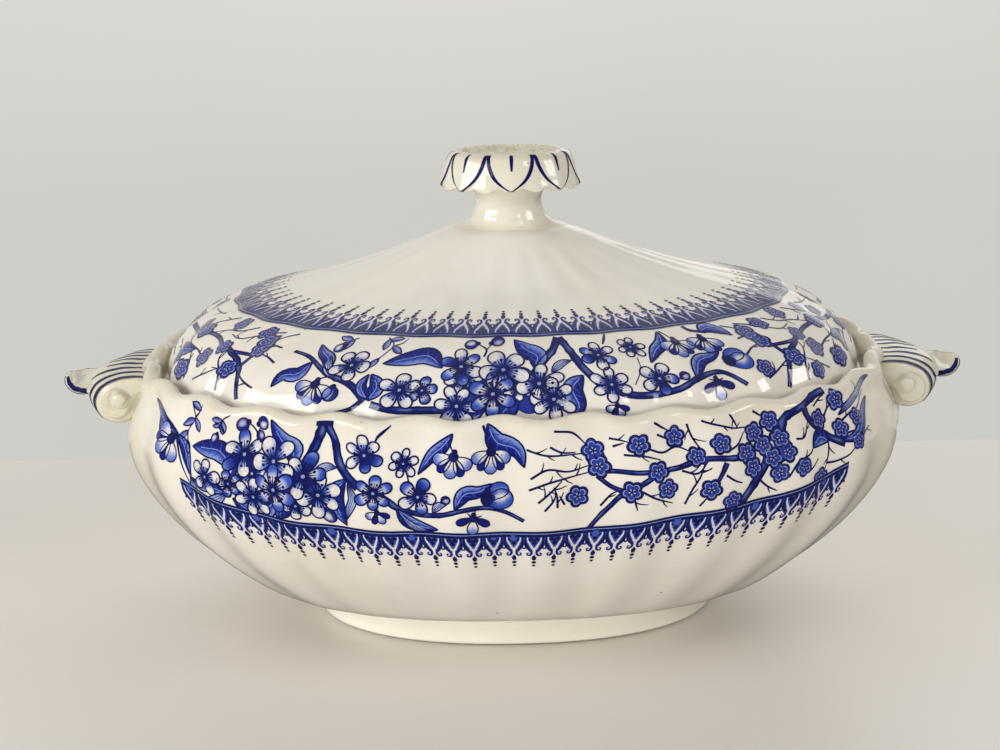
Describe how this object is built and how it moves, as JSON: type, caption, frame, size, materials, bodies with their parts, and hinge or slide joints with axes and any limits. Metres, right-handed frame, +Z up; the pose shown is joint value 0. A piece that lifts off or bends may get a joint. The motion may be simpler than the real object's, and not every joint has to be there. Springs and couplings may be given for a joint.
{
  "type": "soup tureen",
  "caption": "Covered oval soup tureen: fluted bowl on a foot ring, scroll handles, domed lift-off lid with a petalled knob, blue blossom print on cream glaze.",
  "frame": {"origin": "on the table, under the middle of the oval foot ring", "axes": "+X along the long side from handle to handle, +Y across, +Z up through the knob; the print's front side faces -Y"},
  "size_m": [0.3108, 0.1916, 0.161],
  "materials": {
    "cream_glaze": "glossy cream lead glaze with blue transfer print",
    "cobalt_print": "cobalt blue transfer print under the glaze"
  },
  "bodies": {
    "bowl": {"bowl": "cream_glaze", "foot_ring": "cream_glaze", "handle_left": "cream_glaze", "handle_right": "cream_glaze"},
    "lid": {"lid": "cream_glaze", "knob_neck": "cream_glaze", "knob_crown": "cream_glaze"}
  },
  "joints": [
    {"name": "lid_lift", "type": "slide", "parent": "bowl", "child": "lid", "axis": [0, 0, 1], "range_m": [0, 0.12]}
  ]
}
